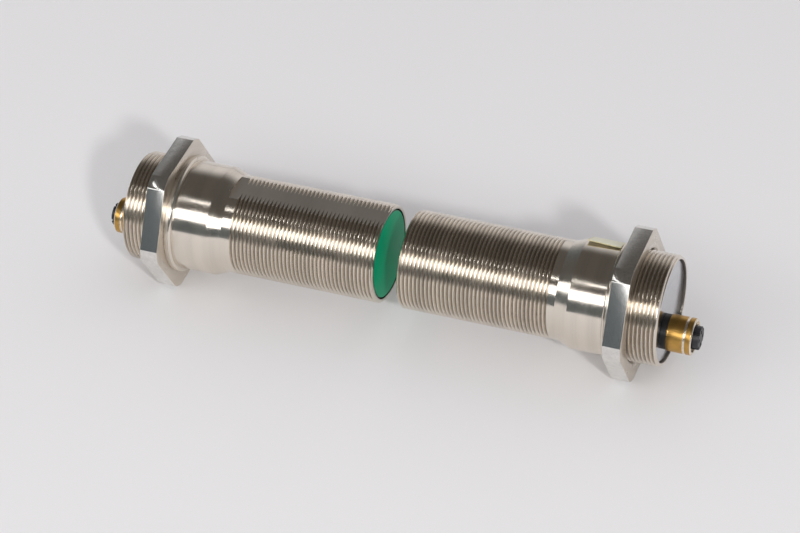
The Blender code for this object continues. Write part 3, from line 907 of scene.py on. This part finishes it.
class SENSOR_OT_connectors(bpy.types.Operator):
    """Makes the gold-plated connectors with their gaskets and keyed inserts"""

    bl_idname = "sensor.connectors"
    bl_label = "Connectors"

    def execute(self, context):
        front, rear = stations("connector_shell")
        radius = half_width("connector_shell")
        shoulder = stations("connector_gasket")[1] + FRAME_GAP
        stem, bore, mouth = radius - 1 * MM, radius - 2 * MM, radius - 1.1 * MM
        groove = shoulder + 5.9 * MM
        floor = radius - 0.4 * MM
        shell = turned(
            "shell",
            [
                (front, bore),
                (front, stem),
                (shoulder, stem),
                (shoulder, radius),
                (groove, radius),
                (groove, floor),
                (groove + 0.8 * MM, floor),
                (groove + 0.8 * MM, radius),
                (rear - 0.4 * MM, radius),
                (rear, radius - 0.4 * MM),
                (rear, mouth),
                (rear - 6 * MM, mouth),
                (rear - 6 * MM, bore),
            ],
            steps=96,
        )
        soften(shell, 0.12 * MM)
        finish_faces(shell, "Gold plating")

        # The groove's pale colour is a painted highlight; the rim is pale metal of its own
        def pale_rim_or_groove_highlight(centre, normal):
            in_groove = groove - 0.05 * MM < centre.x < groove + 0.85 * MM
            on_rim = centre.x > rear - 0.45 * MM
            return in_groove or (on_rim and math.hypot(centre.y, centre.z) > mouth - 0.1 * MM)

        finish_faces(shell, "Bright ring", pale_rim_or_groove_highlight)
        smooth(shell)
        lower(shell)
        fit(shell, "connector_shell")

        start, stop = stations("connector_gasket")
        start, stop = start - 0.28 * MM, stop + 0.28 * MM
        inner, outer = stem + 0.2 * MM, radius - 0.3 * MM
        profile = [(start, inner), (start, outer), (stop, outer), (stop, inner)]
        gasket = turned("gasket", profile, steps=96)
        soften(gasket, 0.6 * MM, segments=5)
        finish_faces(gasket, "Seal rubber")
        smooth(gasket, 40)
        lower(gasket)
        fit(gasket, "connector_gasket")

        start, stop = stations("connector_insert")
        core = half_width("connector_insert")
        insert = turned("insert", [(start, core), (stop, core)], steps=96, ring=False)
        soften(insert, 0.35 * MM, segments=3)
        for number in range(4):
            angle = number * math.pi / 2
            key = block("key", (6 * MM, 2 * MM, 1.2 * MM), (stop - 2 * MM, core, 0))
            key.rotation_euler.x = angle
            settle(key)
            cut(insert, key)
            contact = middle(f"emitter_contact_{number + 1}")
            profile = [(start - OVERRUN, 0.75 * MM), (stop + OVERRUN, 0.75 * MM)]
            hole = turned("hole", profile, steps=24, ring=False)
            hole.location = (0, -contact.y, contact.z - AXIS_HEIGHT + PLUG_DROP)
            settle(hole)
            cut(insert, hole)
        finish_faces(insert, "Insert plastic")
        smooth(insert)
        lower(insert)
        fit(insert, "connector_insert")
        return {"FINISHED"}


class SENSOR_OT_label(bpy.types.Operator):
    """Wraps the blank label round the receiver's shank"""

    bl_idname = "sensor.label"
    bl_label = "Label"

    def execute(self, context):
        sizes = context.scene.sensor_sizes
        front, rear = stations("label")
        inner = sizes.shank_radius + 0.1 * MM
        half_angle = math.radians(47)
        deselect()
        bpy.ops.mesh.primitive_grid_add(x_subdivisions=14, y_subdivisions=40, size=2)
        label = bpy.context.object
        label.data.attributes.new("border", "FLOAT", "POINT")
        border = []
        for vertex in label.data.vertices:
            along, around = vertex.co.x, vertex.co.y
            border.append(max(abs(along) ** 12, abs(around) ** 30))
            # Lifts one edge off the steel
            lift = 0.95 * MM * max(0.0, -around - 0.72) / 0.28 * (0.7 - 0.3 * along)
            angle = around * half_angle
            vertex.co = (
                (front + rear) / 2 + along * (rear - front) / 2,
                (inner + lift) * math.sin(angle),
                (inner + lift) * math.cos(angle),
            )
        label.data.attributes["border"].data.foreach_set("value", border)
        modify(label, "SOLIDIFY", thickness=0.2 * MM, offset=1)
        finish_faces(label, "Label paper")
        smooth(label, 40)
        fit(label, "label", prefixes=("receiver_",))
        return {"FINISHED"}


class SENSOR_OT_inner_parts(bpy.types.Operator):
    """Gives the optics, boards and contacts their finishes"""

    bl_idname = "sensor.inner_parts"
    bl_label = "Inner parts"

    FINISHES = {
        "window_seal": "Seal rubber",
        "lens": "Lens glass",
        "lens_holder": "Holder plastic",
        "optics_board": "Board laminate",
        "main_board": "Board laminate",
        "pin_header": "Chip plastic",
        "signal_chip": "Chip plastic",
        "capacitor": "Capacitor can",
        "board_carrier": "Carrier plastic",
        "cover_seal": "Seal rubber",
        "connector_nut": "Gold plating",
        "contact": "Contact gold",
        "light_source": "Diode resin",
        "photodiode": "Capacitor can",
    }

    def execute(self, context):
        for name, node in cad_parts.items():
            if node.hide_render:
                continue
            # The unit's name goes, and so does a contact's number
            kind = name.split("_", 1)[1].rstrip("_1234")
            material = bpy.data.materials[self.FINISHES[kind]]
            node.data.materials.clear()
            node.data.materials.append(material)
        return {"FINISHED"}


# ---------------------------------------------------------------- studio


def aim(obj, place, target, roll=0.0):
    """Puts a lamp or a camera at a place and turns it to the target."""
    turn = (Vector(target) - Vector(place)).to_track_quat("-Z", "Y").to_matrix().to_4x4()
    obj.matrix_world = Matrix.Translation(place) @ turn @ Matrix.Rotation(roll, 4, "Z")


def area_light(name, direction, size, power):
    """A rectangular lamp that faces the middle of the pair from the given direction."""
    light = bpy.data.lights.new(name, "AREA")
    light.shape = "RECTANGLE"
    light.size, light.size_y = size
    light.energy = power
    lamp = bpy.data.objects.new(name, light)
    bpy.context.scene.collection.objects.link(lamp)
    target = Vector((0, 0, AXIS_HEIGHT))
    aim(lamp, target + Vector(direction).normalized() * LAMP_DISTANCE, target)


class SENSOR_OT_stage(bpy.types.Operator):
    """Sets the pale table, the room's light, the lamps and the camera"""

    bl_idname = "sensor.stage"
    bl_label = "Stage"

    def execute(self, context):
        scene = context.scene
        studio = scene.sensor_studio
        scene.view_settings.view_transform = "Standard"
        self.lay_floor(scene.sensor_colours.floor)
        self.light_room(scene, studio)
        area_light("Strip light", (-0.29, -0.774, 0.5625), (6.0, 0.82), studio.strip_power)
        area_light("Side lamp", (0.53, -0.65, 0.53), (0.18, 0.18), studio.spot_power)
        area_light("Top lamp", (-0.29, -0.40, 0.867), (2.0, 0.06), studio.top_power)
        camera = bpy.data.cameras.new("Camera")
        camera.lens = studio.focal_length
        camera.sensor_width = 36
        camera.clip_start = 0.01
        camera.clip_end = 100
        holder = bpy.data.objects.new("Camera", camera)
        scene.collection.objects.link(holder)
        level = math.cos(studio.elevation)
        forward = Vector(
            (
                -math.sin(studio.azimuth) * level,
                math.cos(studio.azimuth) * level,
                -math.sin(studio.elevation),
            )
        )
        target = Vector(studio.aim)
        aim(holder, target - forward * studio.distance, target, -studio.roll)
        scene.camera = holder
        return {"FINISHED"}

    def lay_floor(self, colour):
        """A plain pale table top, with faint clouding and flecks."""
        deselect()
        bpy.ops.mesh.primitive_plane_add(size=9)
        floor = bpy.context.object
        floor.name = "floor"
        material, tree, shader, place = new_finish(
            "Table laminate", roughness=0.7, specular_ior_level=0.25
        )
        cloud = noise(tree, place, 3.0, 3.0)
        fleck = noise(tree, place, 500.0, 2.0)
        shade = mix(tree, spread(tree, cloud, 0.3, 0.7), tint(colour, 0.985), tint(colour, 1.01))
        flecks = maths(tree, "MULTIPLY", fleck, 0.03)
        tree.links.new(mix(tree, flecks, shade, tint(colour, 0.8)), shader["Base Color"])
        raise_height(tree, shader, fleck, 8e-6, 0.3)
        floor.data.materials.append(material)

    def light_room(self, scene, studio):
        """An even room for matt surfaces, and a pale back with dark sides for polished ones."""
        world = bpy.data.worlds.new("Room")
        scene.world = world
        world.use_nodes = True
        tree = world.node_tree
        tree.nodes.clear()
        facing = add_node(tree, "ShaderNodeTexCoord").outputs["Generated"]
        split = add_node(tree, "ShaderNodeSeparateXYZ", {0: facing}).outputs
        # The pale back is low, behind the pair and towards its right
        low = spread(tree, split[2], 0.72, 0.28)
        low.node.interpolation_type = "SMOOTHSTEP"
        behind = spread(tree, split[1], 0.2, 0.65)
        behind.node.interpolation_type = "SMOOTHSTEP"
        right = spread(tree, split[0], -0.62, -0.42)
        pale = maths(tree, "MULTIPLY", maths(tree, "MULTIPLY", low, behind), right)
        # Under the horizon the room is as pale as the back
        below = spread(tree, split[2], 0.0, -0.03)
        lit = maths(tree, "MAXIMUM", pale, below)
        path = add_node(tree, "ShaderNodeLightPath").outputs
        front = spread(tree, split[2], 0.62, 0.38)
        dark = mix(tree, front, (0.10, 0.093, 0.086, 1.0), (0.118, 0.134, 0.142, 1.0))
        glossy = mix(tree, lit, dark, (0.72, 0.71, 0.715, 1.0))
        ambient = studio.ambient
        back_light = spread(tree, split[1], -0.4, 0.6, 0.5 * ambient, 1.5 * ambient)
        even = mix(tree, back_light, (0.0, 0.0, 0.0, 1.0), (1.0, 0.985, 1.0, 1.0))
        seen = mix(tree, path["Is Diffuse Ray"], glossy, even)
        seen = mix(tree, path["Is Camera Ray"], seen, (0.78, 0.775, 0.79, 1.0))
        background = add_node(tree, "ShaderNodeBackground", {"Color": seen})
        add_node(tree, "ShaderNodeOutputWorld", {"Surface": background.outputs[0]})


class SENSOR_PT_panel(bpy.types.Panel):
    """Lists the pieces of the sensor pair"""

    bl_idname = "SENSOR_PT_panel"
    bl_label = "Sensor pair"
    bl_space_type = "VIEW_3D"
    bl_region_type = "UI"
    bl_category = "Sensor"

    def draw(self, context):
        for operator in OPERATORS:
            self.layout.operator(operator.bl_idname)
        scene = context.scene
        for group in (scene.sensor_sizes, scene.sensor_colours, scene.sensor_studio):
            for name in group.__annotations__:
                self.layout.prop(group, name)


OPERATORS = (
    SENSOR_OT_finishes,
    SENSOR_OT_housings,
    SENSOR_OT_windows,
    SENSOR_OT_nuts,
    SENSOR_OT_covers,
    SENSOR_OT_connectors,
    SENSOR_OT_label,
    SENSOR_OT_inner_parts,
    SENSOR_OT_stage,
)
CLASSES = (SensorSizes, SensorColours, SensorStudio) + OPERATORS + (SENSOR_PT_panel,)


def register():
    for cls in CLASSES:
        bpy.utils.register_class(cls)
    bpy.types.Scene.sensor_sizes = bpy.props.PointerProperty(type=SensorSizes)
    bpy.types.Scene.sensor_colours = bpy.props.PointerProperty(type=SensorColours)
    bpy.types.Scene.sensor_studio = bpy.props.PointerProperty(type=SensorStudio)


def unregister():
    del bpy.types.Scene.sensor_studio
    del bpy.types.Scene.sensor_colours
    del bpy.types.Scene.sensor_sizes
    for cls in reversed(CLASSES):
        bpy.utils.unregister_class(cls)


def main():
    register()
    for operator in OPERATORS:
        category, name = operator.bl_idname.split(".")
        getattr(getattr(bpy.ops, category), name)()


if __name__ == "__main__":
    main()
